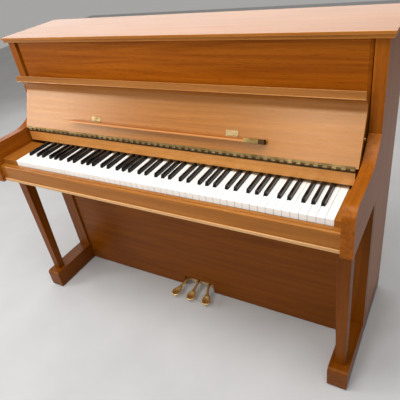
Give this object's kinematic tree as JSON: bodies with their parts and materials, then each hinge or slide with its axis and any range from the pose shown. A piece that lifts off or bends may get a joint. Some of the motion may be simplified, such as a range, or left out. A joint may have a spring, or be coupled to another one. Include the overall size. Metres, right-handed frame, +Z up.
{
  "type": "upright piano",
  "caption": "Upright piano in satin mahogany veneer with open keyboard fall, fold-out music ledge, hinged lid, splayed front legs on toe blocks and brass pedals.",
  "frame": {"origin": "middle of the floor rectangle under the whole piano, at floor level", "axes": "+Z up, +X to the player's right, -Y towards the player, +Y to the back"},
  "size_m": [1.418, 0.565, 1.098],
  "materials": {
    "case_wood": "satin",
    "panel_wood": "satin",
    "light_wood": "satin",
    "plain_timber": "raw",
    "trap_wood": "raw",
    "spruce": "satin",
    "beech": "satin",
    "plate_iron": "bronzed",
    "pin_steel": "blued",
    "string_steel": "bright",
    "action_brass": "satin",
    "felt_and_maple": "felt heads on maple",
    "key_white": "gloss",
    "key_black": "gloss",
    "hinge_brass": "satin",
    "pedal_brass": "polished",
    "bracket_steel": "satin",
    "glide_rubber": "matt"
  },
  "bodies": {
    "case": {"side_left": "case_wood", "side_right": "case_wood", "stiles": "case_wood", "arm_left": "case_wood", "arm_right": "case_wood", "toe_blocks": "case_wood", "legs": "case_wood", "keybed_moulding": "case_wood", "key_slip": "case_wood", "key_blocks": "case_wood", "fall_shelf": "case_wood", "lower_panel": "panel_wood", "plinth": "panel_wood", "upper_panel": "panel_wood", "nameboard": "light_wood", "bottom_board": "plain_timber", "keybed": "plain_timber", "back_frame": "plain_timber", "key_frame": "plain_timber", "soundboard": "spruce", "bridges": "beech", "pin_block": "beech", "iron_plate": "plate_iron", "tuning_pins": "pin_steel", "strings": "string_steel", "action_frame": "action_brass", "hammer_action": "felt_and_maple", "dampers": "felt_and_maple", "natural_keys": "key_white", "sharp_keys": "key_black", "stop_pins": "hinge_brass", "lid_hinge_fixed": "hinge_brass", "fall_hinge_fixed": "hinge_brass", "pedal_brackets": "bracket_steel", "glides": "glide_rubber"},
    "lid": {"lid": "light_wood", "lid_hinge_leaf": "hinge_brass"},
    "fall": {"fall_board": "light_wood", "fall_hinge_leaf": "hinge_brass", "ledge_hinge_fixed": "hinge_brass"},
    "ledge": {"music_ledge": "light_wood", "ledge_hinge_leaf": "hinge_brass"},
    "pedal_left": {"pedal_left": "pedal_brass"},
    "trap_left": {"trap_left": "trap_wood"},
    "pedal_middle": {"pedal_middle": "pedal_brass"},
    "trap_middle": {"trap_middle": "trap_wood"},
    "pedal_right": {"pedal_right": "pedal_brass"},
    "trap_right": {"trap_right": "trap_wood"},
    "key_c": {"key_c": "key_white"},
    "key_c_sharp": {"key_c_sharp": "key_black"},
    "key_d": {"key_d": "key_white"},
    "key_d_sharp": {"key_d_sharp": "key_black"},
    "key_e": {"key_e": "key_white"},
    "key_f": {"key_f": "key_white"},
    "key_f_sharp": {"key_f_sharp": "key_black"},
    "key_g": {"key_g": "key_white"},
    "key_g_sharp": {"key_g_sharp": "key_black"},
    "key_a": {"key_a": "key_white"},
    "key_a_sharp": {"key_a_sharp": "key_black"},
    "key_b": {"key_b": "key_white"}
  },
  "joints": [
    {"name": "lid_open", "type": "hinge", "parent": "case", "child": "lid", "pos_m": [0, 0.2725, 1.0837], "axis": [-1, 0, 0], "range_deg": [0, 100]},
    {"name": "fall_close", "type": "hinge", "parent": "case", "child": "fall", "pos_m": [0, -0.0965, 0.757], "axis": [1, 0, 0], "range_deg": [0, 121.5]},
    {"name": "ledge_fold", "type": "hinge", "parent": "fall", "child": "ledge", "pos_m": [0, -0.07467, 0.80974], "axis": [-1, 0, 0], "range_deg": [0, 90]},
    {"name": "pedal_left_press", "type": "hinge", "parent": "case", "child": "pedal_left", "pos_m": [-0.055, 0.04, 0.045], "axis": [1, 0, 0], "range_deg": [0, 5], "stiffness_Nm_per_rad": 20, "springref_deg": -5.73},
    {"name": "trap_left_lift", "type": "hinge", "parent": "case", "child": "trap_left", "pos_m": [-0.055, 0.17, 0.058], "axis": [-1, 0, 0], "range_deg": [0, 1.65]},
    {"name": "pedal_middle_press", "type": "hinge", "parent": "case", "child": "pedal_middle", "pos_m": [0, 0.04, 0.045], "axis": [1, 0, 0], "range_deg": [0, 5], "stiffness_Nm_per_rad": 20, "springref_deg": -5.73},
    {"name": "trap_middle_lift", "type": "hinge", "parent": "case", "child": "trap_middle", "pos_m": [0, 0.17, 0.058], "axis": [-1, 0, 0], "range_deg": [0, 1.65]},
    {"name": "pedal_right_press", "type": "hinge", "parent": "case", "child": "pedal_right", "pos_m": [0.055, 0.04, 0.045], "axis": [1, 0, 0], "range_deg": [0, 5], "stiffness_Nm_per_rad": 20, "springref_deg": -5.73},
    {"name": "trap_right_lift", "type": "hinge", "parent": "case", "child": "trap_right", "pos_m": [0.055, 0.17, 0.058], "axis": [-1, 0, 0], "range_deg": [0, 1.65]},
    {"name": "key_c_press", "type": "hinge", "parent": "case", "child": "key_c", "pos_m": [0, -0.0175, 0.669], "axis": [1, 0, 0], "range_deg": [0, 2.5], "stiffness_Nm_per_rad": 0.8, "springref_deg": -14.32},
    {"name": "key_c_sharp_press", "type": "hinge", "parent": "case", "child": "key_c_sharp", "pos_m": [0, -0.0175, 0.669], "axis": [1, 0, 0], "range_deg": [0, 2.5], "stiffness_Nm_per_rad": 0.8, "springref_deg": -14.32},
    {"name": "key_d_press", "type": "hinge", "parent": "case", "child": "key_d", "pos_m": [0, -0.0175, 0.669], "axis": [1, 0, 0], "range_deg": [0, 2.5], "stiffness_Nm_per_rad": 0.8, "springref_deg": -14.32},
    {"name": "key_d_sharp_press", "type": "hinge", "parent": "case", "child": "key_d_sharp", "pos_m": [0, -0.0175, 0.669], "axis": [1, 0, 0], "range_deg": [0, 2.5], "stiffness_Nm_per_rad": 0.8, "springref_deg": -14.32},
    {"name": "key_e_press", "type": "hinge", "parent": "case", "child": "key_e", "pos_m": [0, -0.0175, 0.669], "axis": [1, 0, 0], "range_deg": [0, 2.5], "stiffness_Nm_per_rad": 0.8, "springref_deg": -14.32},
    {"name": "key_f_press", "type": "hinge", "parent": "case", "child": "key_f", "pos_m": [0, -0.0175, 0.669], "axis": [1, 0, 0], "range_deg": [0, 2.5], "stiffness_Nm_per_rad": 0.8, "springref_deg": -14.32},
    {"name": "key_f_sharp_press", "type": "hinge", "parent": "case", "child": "key_f_sharp", "pos_m": [0, -0.0175, 0.669], "axis": [1, 0, 0], "range_deg": [0, 2.5], "stiffness_Nm_per_rad": 0.8, "springref_deg": -14.32},
    {"name": "key_g_press", "type": "hinge", "parent": "case", "child": "key_g", "pos_m": [0, -0.0175, 0.669], "axis": [1, 0, 0], "range_deg": [0, 2.5], "stiffness_Nm_per_rad": 0.8, "springref_deg": -14.32},
    {"name": "key_g_sharp_press", "type": "hinge", "parent": "case", "child": "key_g_sharp", "pos_m": [0, -0.0175, 0.669], "axis": [1, 0, 0], "range_deg": [0, 2.5], "stiffness_Nm_per_rad": 0.8, "springref_deg": -14.32},
    {"name": "key_a_press", "type": "hinge", "parent": "case", "child": "key_a", "pos_m": [0, -0.0175, 0.669], "axis": [1, 0, 0], "range_deg": [0, 2.5], "stiffness_Nm_per_rad": 0.8, "springref_deg": -14.32},
    {"name": "key_a_sharp_press", "type": "hinge", "parent": "case", "child": "key_a_sharp", "pos_m": [0, -0.0175, 0.669], "axis": [1, 0, 0], "range_deg": [0, 2.5], "stiffness_Nm_per_rad": 0.8, "springref_deg": -14.32},
    {"name": "key_b_press", "type": "hinge", "parent": "case", "child": "key_b", "pos_m": [0, -0.0175, 0.669], "axis": [1, 0, 0], "range_deg": [0, 2.5], "stiffness_Nm_per_rad": 0.8, "springref_deg": -14.32}
  ],
  "couplings": [
    {"joint": "trap_left_lift", "follows": "pedal_left_press", "ratio": 0.3265},
    {"joint": "trap_middle_lift", "follows": "pedal_middle_press", "ratio": 0.3265},
    {"joint": "trap_right_lift", "follows": "pedal_right_press", "ratio": 0.3265}
  ]
}
